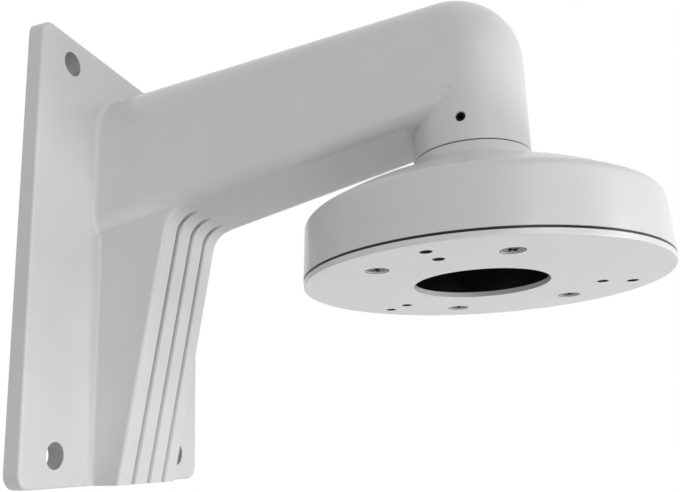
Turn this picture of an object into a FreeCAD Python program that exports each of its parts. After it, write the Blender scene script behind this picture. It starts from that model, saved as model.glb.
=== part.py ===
import FreeCAD, Part
import Sketcher
import math
import os

# Camera wall bracket
#
# A white cast bracket that carries a dome camera off a wall. The wall is the plane y = 0 and the arm
# reaches out along -Y, with +Z up. The origin is the centre of the four wall holes, on the wall face.
# All sizes are millimetres.

# Wall plate
plate_width = 125  # wall plate, side to side
plate_height = 182  # wall plate, top to bottom
plate_thick = 7  # wall plate, front face to wall
plate_corner = 6  # wall plate, corner radius
plate_edge = 1.2  # wall plate, rounding of the front edge
wall_hole_side = 18.5  # wall holes, distance of their centres from the sides of the plate
wall_hole_end = 11.8  # wall holes, distance of their centres from its top and bottom
wall_hole_bore = 10  # wall holes, diameter
recess_depth = 3  # recesses in the back of the plate, depth
recess_rim = 5  # recesses in the back of the plate, rim left at the side
recess_end = 24  # recesses in the back of the plate, distance from its top and bottom
recess_corner = 5  # recesses in the back of the plate, corner radius

# Arm
arm_half_width = 26.5  # arm at the wall, half width
arm_bottom = 9.5  # arm at the wall, height of its underside
arm_corner = 7  # arm, rounding of its lower corners
arm_top = 78.75  # arm at the wall, height of its crown
arm_floor_rise = 11.45  # arm, rise of its underside in degrees
arm_wall = 4  # arm and gusset, wall thickness of the casting
arm_root = 2  # arm and gusset, radius where they meet the plate

# Elbow and neck
neck_reach = 160  # neck axis, distance from the wall
neck_radius = 21.9  # neck and elbow, outer radius
neck_end = 26.6  # neck, height of its lower end
neck_edge = 0.8  # neck, rounding of its lower end
elbow_radius = 28  # elbow, radius of its outer line
elbow_height = 64.2  # elbow, height of the centre of its outer line
socket_bore = 34  # neck, diameter of the socket for the stub
cable_bore = 26  # stub, diameter of the cable way

# Gusset
gusset_half_width = 21.4  # gusset, half width
gusset_foot = 19.7  # gusset, distance of its face from the wall at the foot
gusset_lean = 10.7  # gusset, lean of its face from upright in degrees
gusset_blend = 10  # gusset, radius between its face and the arm
gusset_edge = 1.6  # gusset, rounding of its long edges
groove_mouth = 3.1  # gusset grooves, width at the face
groove_floor = 1.6  # gusset grooves, width at the floor
groove_depth = 1.6  # gusset grooves, depth
groove_pitch = 11.2  # gusset grooves, spacing
groove_end = 8  # gusset grooves, radius in which their floor runs out

# Cap
cap_radius = 65.25  # cap, outer radius at its rim
cap_rim = -18.3  # cap, height of its rim
cap_draft = 2.7  # cap, lean of its side in degrees
cap_side_top = 2.1  # cap, height of the corner between side and dome
cap_shoulder = 3.5  # cap, radius of that corner
dome_inset = 14.85  # cap, distance in from its rim to where the dome changes slope
dome_knee_height = 10.3  # cap, height of that place
dome_round = 160  # cap, radius of the dome there
dome_slope = 21.6  # cap, slope of the upper dome in degrees
collar_blend = 6.7  # cap, radius between dome and collar
collar_edge = 0.3  # cap, rounding of the collar's upper edge
cap_wall = 3  # cap, wall thickness
stub_length = 18  # cap stub, height above the collar
stub_slack = 0.1  # cap stub, clearance to the socket on the radius
cap_turn = -8.93  # cap, turn about the neck axis in degrees

# Adapter plate and its seal
seal_thick = 0.9  # seal, thickness of the flat ring
seal_inset = 0.5  # seal, how far its edge lies inside the rim
seal_collar = 12  # seal, height of the collar round the cable hole
seal_collar_wall = 1.6  # seal, thickness of the collar
adapter_inset = 0.05  # adapter plate, how far its edge lies inside the rim of the cap
adapter_thick = 1.9  # adapter plate, thickness
adapter_edge = 0.4  # adapter plate, rounding of its lower edge
cable_hole = 48.8  # adapter plate, diameter of the cable hole
camera_circle_inner = 89  # camera holes, inner pitch circle
camera_circle_outer = 111  # camera holes, outer pitch circle
camera_hole = 3.3  # camera holes, diameter

# Screws
screw_circle = 94.4  # plate screws, pitch circle
screw_spread = 28.9  # plate screws, angle of each from the axis of the pattern in degrees
screw_shank = 4  # plate screws, shank diameter
screw_head = 7.6  # plate screws, head diameter
screw_cone = 1.7  # plate screws, height of the head
screw_length = 12  # plate screws, length over all
screw_slack = 0.2  # plate screws, clearance round the shank on the radius
cross_length = 4.4  # plate screws, length of the cross recess
cross_width = 0.9  # plate screws, width of the cross recess
cross_depth = 1.2  # plate screws, depth of the cross recess
boss_radius = 5  # cap bosses for the plate screws, radius
set_screw_bore = 4  # set screw, diameter
set_screw_length = 4  # set screw, length
set_screw_rise = 9.4  # set screw, height above the lower end of the neck
hex_across = 2  # set screw, socket across flats
hex_depth = 1.8  # set screw, depth of the socket

# The sheet that the sketches and features read the sizes from
doc = FreeCAD.newDocument("camera_wall_bracket")
sheet = doc.addObject("Spreadsheet::Sheet", "Sizes")
sizes = dict(
    plate_width=plate_width, plate_height=plate_height, plate_thick=plate_thick,
    plate_corner=plate_corner, plate_edge=plate_edge, wall_hole_side=wall_hole_side,
    wall_hole_end=wall_hole_end, wall_hole_bore=wall_hole_bore, recess_depth=recess_depth,
    recess_rim=recess_rim, recess_end=recess_end, recess_corner=recess_corner,
    arm_half_width=arm_half_width, arm_bottom=arm_bottom, arm_corner=arm_corner, arm_top=arm_top,
    arm_floor_rise=arm_floor_rise, arm_wall=arm_wall, arm_root=arm_root, neck_reach=neck_reach,
    neck_radius=neck_radius, neck_end=neck_end, neck_edge=neck_edge, elbow_radius=elbow_radius,
    elbow_height=elbow_height, socket_bore=socket_bore, cable_bore=cable_bore,
    gusset_half_width=gusset_half_width, gusset_foot=gusset_foot, gusset_lean=gusset_lean,
    gusset_blend=gusset_blend, gusset_edge=gusset_edge, groove_mouth=groove_mouth,
    groove_floor=groove_floor, groove_depth=groove_depth, groove_pitch=groove_pitch,
    groove_end=groove_end, cap_radius=cap_radius, cap_rim=cap_rim, cap_draft=cap_draft,
    cap_side_top=cap_side_top, cap_shoulder=cap_shoulder, dome_inset=dome_inset,
    dome_knee_height=dome_knee_height, dome_round=dome_round, dome_slope=dome_slope,
    collar_blend=collar_blend, collar_edge=collar_edge, cap_wall=cap_wall,
    stub_length=stub_length, stub_slack=stub_slack, cap_turn=cap_turn, seal_thick=seal_thick,
    seal_inset=seal_inset, seal_collar=seal_collar, seal_collar_wall=seal_collar_wall,
    adapter_inset=adapter_inset, adapter_thick=adapter_thick, adapter_edge=adapter_edge,
    cable_hole=cable_hole, camera_circle_inner=camera_circle_inner,
    camera_circle_outer=camera_circle_outer, camera_hole=camera_hole, screw_circle=screw_circle,
    screw_spread=screw_spread, screw_shank=screw_shank, screw_head=screw_head, screw_cone=screw_cone,
    screw_length=screw_length, screw_slack=screw_slack, cross_length=cross_length,
    cross_width=cross_width, cross_depth=cross_depth, boss_radius=boss_radius,
    set_screw_bore=set_screw_bore, set_screw_length=set_screw_length, set_screw_rise=set_screw_rise,
    hex_across=hex_across, hex_depth=hex_depth,
)
following = dict(
    wall_hole_across="=plate_width - 2 * wall_hole_side",  # wall holes, spacing side to side
    wall_hole_up="=plate_height - 2 * wall_hole_end",  # wall holes, spacing top to bottom
    recess_height="=plate_height - 2 * recess_end",  # recesses in the back, top to bottom
    dome_knee="=cap_radius - dome_inset",  # cap, radius at which the dome changes slope
    collar_radius="=neck_radius",  # cap, radius of the collar, which lines up with the neck
    adapter_radius="=cap_radius - adapter_inset",  # adapter plate, radius
    set_screw_height="=neck_end + set_screw_rise",  # set screw, height
)
for row, (alias, value) in enumerate([*sizes.items(), *following.items()], 1):
    sheet.set("A%d" % row, alias)
    sheet.set("B%d" % row, str(value))
    sheet.setAlias("B%d" % row, alias)
doc.recompute()

# Heights and places that follow from the sizes
PIVOT_REACH = "(Sizes.neck_reach - Sizes.elbow_radius + Sizes.neck_radius)"
ELBOW_TOP = "(Sizes.elbow_height + Sizes.elbow_radius)"
ARM_END_BOTTOM = "(Sizes.arm_bottom + " + PIVOT_REACH + " * tan(Sizes.arm_floor_rise))"
NECK_FLOOR = "(Sizes.arm_bottom + Sizes.neck_reach * tan(Sizes.arm_floor_rise))"
FLANK_HEIGHT = "(" + ARM_END_BOTTOM + " + Sizes.arm_corner + Sizes.neck_edge)"
PLATE_FOOT = "(-Sizes.plate_height / 2)"
SEAL_TOP = "Sizes.cap_rim"
SEAL_BOTTOM = "(Sizes.cap_rim - Sizes.seal_thick)"
ADAPTER_BOTTOM = "(Sizes.cap_rim - Sizes.seal_thick - Sizes.adapter_thick)"


def number(text):
    """Work out an expression with the sizes as they stand."""
    return float(sheet.evalExpression(text))


def begin_body(label):
    """Start a sub-part."""
    body = doc.addObject("PartDesign::Body", label)
    body.Label = label
    return body


def begin_sketch(body, name, role, lift=None, tilt=None, side="0", up="0", tilt_axis=-1,
                 turned=False):
    """Lay a sketch on one of the body's planes: moved along it, lifted off it and tilted back.

    A turned sketch is flipped over about its X axis, so that its Y axis points the other way.
    """
    sketch = body.newObject("Sketcher::SketchObject", name)
    base = [f for f in body.Origin.OriginFeatures if f.Role == role][0]
    sketch.AttachmentSupport = (base, [""])
    sketch.MapMode = "FlatFace"
    if tilt:
        turn = FreeCAD.Rotation(FreeCAD.Vector(tilt_axis, 0, 0), number(tilt))
        sketch.AttachmentOffset = FreeCAD.Placement(FreeCAD.Vector(), turn)
        sketch.setExpression(".AttachmentOffset.Rotation.Angle", tilt)
    if turned:
        over = FreeCAD.Rotation(FreeCAD.Vector(1, 0, 0), 180)
        sketch.AttachmentOffset = FreeCAD.Placement(FreeCAD.Vector(), over)
    for axis, text in (("x", side), ("y", up), ("z", lift or "0")):
        if text != "0":
            sketch.setExpression(".AttachmentOffset.Base." + axis, text)
    return sketch


def bind(sketch, constraint, text):
    """Add a dimension to a sketch and tie it to an expression."""
    index = sketch.addConstraint(constraint)
    sketch.setExpression("Constraints[%d]" % index, text)


def pin_point(sketch, part, end, x, y):
    """Fix one point of a sketch at two expressions."""
    bind(sketch, Sketcher.Constraint("DistanceX", part, end, number(x)), x)
    bind(sketch, Sketcher.Constraint("DistanceY", part, end, number(y)), y)


def outline(sketch, corners):
    """Draw a closed outline through corners (x, y) or rounded corners (x, y, radius)."""
    spots = [FreeCAD.Vector(number(c[0]), number(c[1]), 0) for c in corners]
    count = len(corners)
    entry = []
    leave = []
    rounds = []
    for i, corner in enumerate(corners):
        before = (spots[i] - spots[i - 1]).normalize()
        after = (spots[(i + 1) % count] - spots[i]).normalize()
        if len(corner) == 2:
            entry.append(spots[i])
            leave.append(spots[i])
            rounds.append(None)
            continue
        radius = number(corner[2])
        turn = math.atan2(before.x * after.y - before.y * after.x, before.dot(after))
        cut = radius * abs(math.tan(turn / 2))
        entry.append(spots[i] - before * cut)
        leave.append(spots[i] + after * cut)
        hand = 1 if turn > 0 else -1
        centre = entry[-1] + FreeCAD.Vector(-before.y, before.x, 0) * radius * hand
        rounds.append((centre, radius, hand))
    lines = []
    for i in range(count):
        lines.append(sketch.addGeometry(Part.LineSegment(leave[i], entry[(i + 1) % count])))
    for i, corner in enumerate(corners):
        if rounds[i] is None:
            sketch.addConstraint(Sketcher.Constraint("Coincident", lines[i - 1], 2, lines[i], 1))
            pin_point(sketch, lines[i], 1, corner[0], corner[1])
            continue
        centre, radius, hand = rounds[i]
        start, stop = (entry[i], leave[i]) if hand > 0 else (leave[i], entry[i])
        from_angle = math.atan2(start.y - centre.y, start.x - centre.x)
        to_angle = math.atan2(stop.y - centre.y, stop.x - centre.x)
        circle = Part.Circle(centre, FreeCAD.Vector(0, 0, 1), radius)
        arc = sketch.addGeometry(Part.ArcOfCircle(circle, from_angle, to_angle))
        point = sketch.addGeometry(Part.Point(spots[i]), True)
        first, last = (1, 2) if hand > 0 else (2, 1)
        pin_point(sketch, point, 1, corner[0], corner[1])
        sketch.addConstraint(Sketcher.Constraint("PointOnObject", point, 1, lines[i - 1]))
        sketch.addConstraint(Sketcher.Constraint("PointOnObject", point, 1, lines[i]))
        sketch.addConstraint(Sketcher.Constraint("Tangent", lines[i - 1], 2, arc, first))
        sketch.addConstraint(Sketcher.Constraint("Tangent", arc, last, lines[i], 1))
        bind(sketch, Sketcher.Constraint("Radius", arc, radius), corner[2])


def rectangle(sketch, left, right, bottom, top, radius=None):
    """Draw an upright rectangle, with rounded corners if a radius is given."""
    tail = (radius,) if radius else ()
    outline(sketch, [
        (left, bottom) + tail,
        (right, bottom) + tail,
        (right, top) + tail,
        (left, top) + tail,
    ])


def circle(sketch, x, y, radius):
    """Draw a circle."""
    centre = FreeCAD.Vector(number(x), number(y), 0)
    ring = Part.Circle(centre, FreeCAD.Vector(0, 0, 1), number(radius))
    part = sketch.addGeometry(ring)
    pin_point(sketch, part, 3, x, y)
    bind(sketch, Sketcher.Constraint("Radius", part, number(radius)), radius)


def cross(sketch, x, y, length, width):
    """Draw a cross of two equal bars."""
    far = length + " / 2"
    near = width + " / 2"
    quarter = ((far, near), (near, near), (near, far))
    corners = []
    for hand_x, hand_y, run in (("+", "+", 1), ("-", "+", -1), ("-", "-", 1), ("+", "-", -1)):
        for along, up in quarter[::run]:
            corners.append((x + hand_x + along, y + hand_y + up))
    outline(sketch, corners)


def arch(sketch, half_width, crown, bottom, corner=None):
    """Draw the arm's section: a full round on top, upright sides and a flat bottom."""
    half = number(half_width)
    low = number(bottom)
    turn = number(corner) if corner else 0
    middle = number(crown) - half
    vector = FreeCAD.Vector
    up = vector(0, 0, 1)
    round_top = Part.ArcOfCircle(Part.Circle(vector(0, middle, 0), up, half), 0, math.pi)
    top = sketch.addGeometry(round_top)
    left_line = Part.LineSegment(vector(-half, middle, 0), vector(-half, low + turn, 0))
    left = sketch.addGeometry(left_line)
    chain = [(top, 2, left, 1)]
    last = left
    if corner:
        left_round = Part.Circle(vector(-half + turn, low + turn, 0), up, turn)
        left_arc = sketch.addGeometry(Part.ArcOfCircle(left_round, math.pi, 1.5 * math.pi))
        chain.append((left, 2, left_arc, 1))
        last = left_arc
    floor_line = Part.LineSegment(vector(-half + turn, low, 0), vector(half - turn, low, 0))
    floor = sketch.addGeometry(floor_line)
    right_line = Part.LineSegment(vector(half, low + turn, 0), vector(half, middle, 0))
    right = sketch.addGeometry(right_line)
    chain.append((right, 2, top, 1))
    if corner:
        right_round = Part.Circle(vector(half - turn, low + turn, 0), up, turn)
        right_arc = sketch.addGeometry(Part.ArcOfCircle(right_round, 1.5 * math.pi, 2 * math.pi))
        chain.append((last, 2, floor, 1))
        chain.append((floor, 2, right_arc, 1))
        chain.append((right_arc, 2, right, 1))
        sketch.addConstraint(Sketcher.Constraint("Equal", left_arc, right_arc))
        bind(sketch, Sketcher.Constraint("Radius", left_arc, turn), corner)
    else:
        sketch.addConstraint(Sketcher.Constraint("Coincident", left, 2, floor, 1))
        sketch.addConstraint(Sketcher.Constraint("Coincident", floor, 2, right, 1))
    for one, end, other, start in chain:
        sketch.addConstraint(Sketcher.Constraint("Tangent", one, end, other, start))
    if not corner:
        sketch.addConstraint(Sketcher.Constraint("Horizontal", floor))
    sketch.addConstraint(Sketcher.Constraint("Vertical", left))
    sketch.addConstraint(Sketcher.Constraint("PointOnObject", top, 3, -2))
    bind(sketch, Sketcher.Constraint("Radius", top, half), half_width)
    bind(sketch, Sketcher.Constraint("DistanceY", top, 3, middle), crown + " - " + half_width)
    bind(sketch, Sketcher.Constraint("DistanceY", floor, 1, low), bottom)


def pad(body, name, sketch, length, both=False, other_way=False):
    """Raise a sketch into a solid."""
    feature = body.newObject("PartDesign::Pad", name)
    feature.Profile = sketch
    feature.setExpression("Length", length)
    feature.Midplane = both
    feature.Reversed = other_way
    doc.recompute()
    return feature


def pocket(body, name, sketch, length, both=False, other_way=False):
    """Cut a sketch into the solid, and make sure that it does take something away."""
    doc.recompute()
    before = body.Shape.Volume
    feature = body.newObject("PartDesign::Pocket", name)
    feature.Profile = sketch
    feature.setExpression("Length", length)
    feature.Midplane = both
    feature.Reversed = other_way
    doc.recompute()
    if not 0 < body.Shape.Volume < before or not body.Shape.isValid():
        raise RuntimeError(name + " does not cut the solid")
    return feature


def spin(body, name, sketch, axis, angle="360", kind="Revolution"):
    """Turn a sketch about one of its own axes, to add to the solid or to cut it."""
    feature = body.newObject("PartDesign::" + kind, name)
    feature.Profile = sketch
    feature.ReferenceAxis = (sketch, [axis])
    feature.setExpression("Angle", angle)
    doc.recompute()
    return feature


def loft(body, name, first, last, kind="AdditiveLoft"):
    """Join two sections with straight sides."""
    feature = body.newObject("PartDesign::" + kind, name)
    feature.Profile = first
    feature.Sections = [last]
    feature.Ruled = True
    doc.recompute()
    return feature


def soften(body, name, radius, chosen):
    """Round the edges of the solid that the rule picks."""
    doc.recompute()
    base = body.Tip
    names = []
    for i, edge in enumerate(base.Shape.Edges):
        if chosen(edge):
            names.append("Edge%d" % (i + 1))
    if not names:
        raise RuntimeError(name + " finds no edge")
    feature = body.newObject("PartDesign::Fillet", name)
    feature.Base = (base, names)
    feature.setExpression("Radius", radius)
    doc.recompute()
    return feature


def middle_of(edge):
    """The point halfway along an edge."""
    return edge.valueAt((edge.FirstParameter + edge.LastParameter) / 2)


NEAR = 0.01

# Gusset under the arm, made by itself and then joined to the bracket casting
gusset = begin_body("gusset")
plate_front = -number("Sizes.plate_thick")

# Its side profile runs up the leaning face, round the blend and along the arm
FACE_TOP_HEIGHT = (
    "((Sizes.arm_bottom + (Sizes.gusset_foot + Sizes.plate_height / 2 * tan(Sizes.gusset_lean))"
    " * tan(Sizes.arm_floor_rise))"
    " / (1 - tan(Sizes.gusset_lean) * tan(Sizes.arm_floor_rise)))"
)
FACE_TOP_REACH = (
    "(Sizes.gusset_foot + (Sizes.plate_height / 2 + " + FACE_TOP_HEIGHT + ")"
    " * tan(Sizes.gusset_lean))"
)
BLEND_ANGLE = "((90 - Sizes.gusset_lean - Sizes.arm_floor_rise) / 2)"
BLEND_RUN = "(Sizes.gusset_blend * tan(" + BLEND_ANGLE + "))"
TIP_REACH = "(" + FACE_TOP_REACH + " + " + BLEND_RUN + " * cos(Sizes.arm_floor_rise))"
TIP_HEIGHT = "(" + FACE_TOP_HEIGHT + " + " + BLEND_RUN + " * sin(Sizes.arm_floor_rise))"
TIP_PAST = "Sizes.gusset_edge / 4"
gusset_profile = begin_sketch(gusset, "GussetProfile", "YZ_Plane")
outline(gusset_profile, [
    ("0", PLATE_FOOT),
    ("-Sizes.gusset_foot", PLATE_FOOT),
    ("-" + FACE_TOP_REACH, FACE_TOP_HEIGHT, "Sizes.gusset_blend"),
    ("-" + TIP_REACH + " - " + TIP_PAST,
     TIP_HEIGHT + " + " + TIP_PAST + " * tan(Sizes.arm_floor_rise)"),
    ("-" + TIP_REACH, TIP_HEIGHT + " + Sizes.arm_wall"),
    ("0", "Sizes.arm_bottom + Sizes.arm_wall"),
])
pad(gusset, "Gusset", gusset_profile, "2 * Sizes.gusset_half_width", both=True)


# Its long edges are rounded from the foot to where the blend ends
gusset_side = number("Sizes.gusset_half_width")
tip_reach = number(TIP_REACH)


def on_gusset_front(edge):
    point = middle_of(edge)
    at_side = all(abs(abs(vertex.Point.x) - gusset_side) < NEAR for vertex in edge.Vertexes)
    along = abs(edge.Vertexes[0].Point.x - edge.Vertexes[-1].Point.x) < NEAR
    ahead = point.y < plate_front - 1 and point.z > number(PLATE_FOOT) + 1
    below = all(vertex.Point.z < number(TIP_HEIGHT) + number(TIP_PAST) for vertex in edge.Vertexes)
    return at_side and along and ahead and below


soften(gusset, "GussetEdges", "Sizes.gusset_edge", on_gusset_front)

# Three grooves in the gusset: a sloping-sided channel up the face, then turned out through the blend
BLEND_START_REACH = "(" + FACE_TOP_REACH + " - " + BLEND_RUN + " * sin(Sizes.gusset_lean))"
BLEND_START_HEIGHT = "(" + FACE_TOP_HEIGHT + " - " + BLEND_RUN + " * cos(Sizes.gusset_lean))"
GROOVE_TURN = "(Sizes.groove_end - Sizes.groove_depth)"
TURN_REACH = "(" + BLEND_START_REACH + " + " + GROOVE_TURN + " * cos(Sizes.gusset_lean))"
TURN_HEIGHT = "(" + BLEND_START_HEIGHT + " - " + GROOVE_TURN + " * sin(Sizes.gusset_lean))"
GROOVE_LENGTH = "((Sizes.plate_height / 2 + " + BLEND_START_HEIGHT + ") / cos(Sizes.gusset_lean) + 2)"
MOUTH_HALF = "(Sizes.groove_mouth - Sizes.groove_floor / 2)"
groove_section = begin_sketch(gusset, "GrooveSection", "XY_Plane", lift=TURN_HEIGHT,
                              up="-" + TURN_REACH, side="-Sizes.groove_pitch",
                              tilt="Sizes.gusset_lean", tilt_axis=1)
outline(groove_section, [
    ("-Sizes.groove_floor / 2", "Sizes.groove_end"),
    ("-" + MOUTH_HALF, "Sizes.groove_end - 2 * Sizes.groove_depth"),
    (MOUTH_HALF, "Sizes.groove_end - 2 * Sizes.groove_depth"),
    ("Sizes.groove_floor / 2", "Sizes.groove_end"),
])
groove_face = pocket(gusset, "GrooveFace", groove_section, GROOVE_LENGTH)
groove_runout = spin(gusset, "GrooveRunout", groove_section, "H_Axis", "90 - Sizes.gusset_lean",
                     "Groove")
grooves = gusset.newObject("PartDesign::LinearPattern", "Grooves")
grooves.Originals = [groove_face, groove_runout]
grooves.Direction = (groove_section, ["H_Axis"])
grooves.setExpression("Length", "2 * Sizes.groove_pitch")
grooves.Occurrences = 3
gusset.Tip = grooves
doc.recompute()

# Where it meets the plate it flares out with a small radius; the flat beyond it lies in the plate
FLARE_SIDE = "(Sizes.gusset_half_width + 2 * Sizes.arm_root)"
FLARE_REACH = "(Sizes.plate_thick + 2 * Sizes.arm_root)"
gusset_root = begin_sketch(gusset, "GussetRootOutline", "XY_Plane", lift=PLATE_FOOT)
outline(gusset_root, [
    (FLARE_SIDE, "0"),
    ("-" + FLARE_SIDE, "0"),
    ("-" + FLARE_SIDE, "-Sizes.plate_thick"),
    ("-Sizes.gusset_half_width", "-Sizes.plate_thick", "Sizes.arm_root"),
    ("-Sizes.gusset_half_width", "-" + FLARE_REACH),
    ("Sizes.gusset_half_width", "-" + FLARE_REACH),
    ("Sizes.gusset_half_width", "-Sizes.plate_thick", "Sizes.arm_root"),
    (FLARE_SIDE, "-Sizes.plate_thick"),
])
pad(gusset, "GussetRoot", gusset_root, "Sizes.arm_bottom + Sizes.arm_corner - " + PLATE_FOOT)

# Bracket casting: first the wall plate, with its front edge rounded
arm = begin_body("wall_arm")
plate_outline = begin_sketch(arm, "PlateOutline", "XZ_Plane")
rectangle(
    plate_outline,
    "-Sizes.plate_width / 2",
    "Sizes.plate_width / 2",
    "-Sizes.plate_height / 2",
    "Sizes.plate_height / 2",
    "Sizes.plate_corner",
)
pad(arm, "Plate", plate_outline, "Sizes.plate_thick")
plate_low = number(PLATE_FOOT)
plate_side = number("Sizes.plate_width / 2")
plate_turn = number("Sizes.plate_corner")


def on_plate_rim(edge):
    point = middle_of(edge)
    near_rim = abs(point.x) > plate_side - plate_turn or abs(point.z) > -plate_low - NEAR
    return near_rim and all(abs(end.Point.y - plate_front) < NEAR for end in edge.Vertexes)


soften(arm, "PlateEdge", "Sizes.plate_edge", on_plate_rim)

# The arm: straight ruled sides from the wall to the start of the elbow
arm_start = begin_sketch(arm, "ArmRoot", "XZ_Plane")
arch(arm_start, "Sizes.arm_half_width", "Sizes.arm_top", "Sizes.arm_bottom", "Sizes.arm_corner")
arm_end = begin_sketch(arm, "ArmEnd", "XZ_Plane", lift=PIVOT_REACH)
arch(arm_end, "Sizes.neck_radius", ELBOW_TOP, ARM_END_BOTTOM, "Sizes.arm_corner")
loft(arm, "Arm", arm_start, arm_end)

# The radius where the arm stands on the plate, put on before the gusset breaks its line
arm_side = number("Sizes.arm_half_width")


def at_arm_root(edge):
    return all(abs(end.Point.x) < arm_side + NEAR and abs(end.Point.y - plate_front) < NEAR
               for end in edge.Vertexes)


soften(arm, "ArmRootRound", "Sizes.arm_root", at_arm_root)
join = arm.newObject("PartDesign::Boolean", "GussetJoin")
join.setObjects([gusset])
join.Type = "Fuse"
doc.recompute()

# The shoulder: the lower edge of the arm carried on into the neck
shoulder_start = begin_sketch(arm, "ShoulderStart", "XZ_Plane", lift=PIVOT_REACH)
outline(shoulder_start, [
    ("-Sizes.neck_radius", ARM_END_BOTTOM, "Sizes.arm_corner"),
    ("Sizes.neck_radius", ARM_END_BOTTOM, "Sizes.arm_corner"),
    ("Sizes.neck_radius", FLANK_HEIGHT),
    ("-Sizes.neck_radius", FLANK_HEIGHT),
])
shoulder_end = begin_sketch(arm, "ShoulderEnd", "XZ_Plane", lift="Sizes.neck_reach")
outline(shoulder_end, [
    ("-Sizes.neck_radius + Sizes.neck_edge", NECK_FLOOR, "Sizes.arm_corner / 2"),
    ("Sizes.neck_radius - Sizes.neck_edge", NECK_FLOOR, "Sizes.arm_corner / 2"),
    ("Sizes.neck_radius - Sizes.neck_edge", FLANK_HEIGHT),
    ("-Sizes.neck_radius + Sizes.neck_edge", FLANK_HEIGHT),
])
loft(arm, "Shoulder", shoulder_start, shoulder_end)

# The elbow: half round with straight flanks, turned from the end of the arm down to the neck
elbow_section = begin_sketch(arm, "ElbowSection", "XZ_Plane", lift=PIVOT_REACH,
                             up="Sizes.elbow_height")
arch(elbow_section, "Sizes.neck_radius", "Sizes.elbow_radius", "0")
spin(arm, "Elbow", elbow_section, "H_Axis", "90")

# The neck: a plain round below, with straight flanks back to the arm above the shoulder
neck_round = begin_sketch(arm, "NeckRound", "XY_Plane", lift="Sizes.neck_end")
circle(neck_round, "0", "-Sizes.neck_reach", "Sizes.neck_radius")
pad(arm, "Neck", neck_round, FLANK_HEIGHT + " - Sizes.neck_end")
neck_flanks = begin_sketch(arm, "NeckFlanks", "XY_Plane", lift=FLANK_HEIGHT, up="-" + PIVOT_REACH,
                           turned=True)
arch(neck_flanks, "Sizes.neck_radius", "Sizes.elbow_radius", "0")
pad(arm, "NeckTop", neck_flanks, "Sizes.elbow_height - " + FLANK_HEIGHT, other_way=True)

# The hollow of the arm and of the elbow, one wall inside the outer faces
hollow_root = begin_sketch(arm, "HollowRoot", "XZ_Plane")
arch(hollow_root, "(Sizes.arm_half_width - Sizes.arm_wall)", "(Sizes.arm_top - Sizes.arm_wall)",
     "Sizes.arm_bottom + Sizes.arm_wall", "Sizes.arm_corner - Sizes.arm_wall")
hollow_end = begin_sketch(arm, "HollowEnd", "XZ_Plane", lift=PIVOT_REACH)
arch(hollow_end, "(Sizes.neck_radius - Sizes.arm_wall)", "(" + ELBOW_TOP + " - Sizes.arm_wall)",
     ARM_END_BOTTOM + " + Sizes.arm_wall", "Sizes.arm_corner - Sizes.arm_wall")
loft(arm, "ArmHollow", hollow_root, hollow_end, "SubtractiveLoft")
elbow_hollow = begin_sketch(arm, "ElbowHollowSection", "XZ_Plane", lift=PIVOT_REACH,
                            up="Sizes.elbow_height")
arch(elbow_hollow, "(Sizes.neck_radius - Sizes.arm_wall)",
     "(Sizes.elbow_radius - Sizes.arm_wall)", "0")
spin(arm, "ElbowHollow", elbow_hollow, "H_Axis", "90", "Groove")

# The socket that the stub of the cap screws into
socket_round = begin_sketch(arm, "SocketRound", "XY_Plane", lift="Sizes.neck_end")
circle(socket_round, "0", "-Sizes.neck_reach", "Sizes.socket_bore / 2")
pocket(arm, "Socket", socket_round, "Sizes.elbow_height - Sizes.neck_end + Sizes.arm_wall / 2",
       other_way=True)

# The hollow of the gusset, open to the wall
HOLLOW_FOOT = "(Sizes.gusset_foot - Sizes.arm_wall / cos(Sizes.gusset_lean))"
HOLLOW_TOP_HEIGHT = (
    "((Sizes.arm_bottom + (" + HOLLOW_FOOT + " + Sizes.plate_height / 2 * tan(Sizes.gusset_lean))"
    " * tan(Sizes.arm_floor_rise))"
    " / (1 - tan(Sizes.gusset_lean) * tan(Sizes.arm_floor_rise)))"
)
HOLLOW_TOP_REACH = (
    "(" + HOLLOW_FOOT + " + (Sizes.plate_height / 2 + " + HOLLOW_TOP_HEIGHT + ")"
    " * tan(Sizes.gusset_lean))"
)
gusset_hollow = begin_sketch(arm, "GussetHollowProfile", "YZ_Plane")
outline(gusset_hollow, [
    ("0", PLATE_FOOT + " + Sizes.arm_wall"),
    ("-" + HOLLOW_FOOT + " - Sizes.arm_wall * tan(Sizes.gusset_lean)",
     PLATE_FOOT + " + Sizes.arm_wall", "Sizes.arm_root"),
    ("-" + HOLLOW_TOP_REACH, HOLLOW_TOP_HEIGHT, "Sizes.arm_root"),
    ("0", "Sizes.arm_bottom"),
])
pocket(arm, "GussetHollow", gusset_hollow, "2 * (Sizes.gusset_half_width - Sizes.arm_wall)",
       both=True)

# Two shallow recesses in the back of the plate, one each side of the hollow
recess_outline = begin_sketch(arm, "RecessOutline", "XZ_Plane")
RECESS_IN = "(Sizes.arm_half_width + Sizes.recess_rim)"
RECESS_OUT = "(Sizes.plate_width / 2 - Sizes.recess_rim)"
for left, right in (("-" + RECESS_OUT, "-" + RECESS_IN), (RECESS_IN, RECESS_OUT)):
    rectangle(recess_outline, left, right, "-Sizes.recess_height / 2", "Sizes.recess_height / 2",
              "Sizes.recess_corner")
pocket(arm, "Recesses", recess_outline, "Sizes.recess_depth", other_way=True)

# Four holes for the wall screws
wall_holes = begin_sketch(arm, "WallHoles", "XZ_Plane")
for across in ("-Sizes.wall_hole_across / 2", "Sizes.wall_hole_across / 2"):
    for up in ("-Sizes.wall_hole_up / 2", "Sizes.wall_hole_up / 2"):
        circle(wall_holes, across, up, "Sizes.wall_hole_bore / 2")
pocket(arm, "WallHoleCut", wall_holes, "Sizes.plate_thick", other_way=True)

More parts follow.
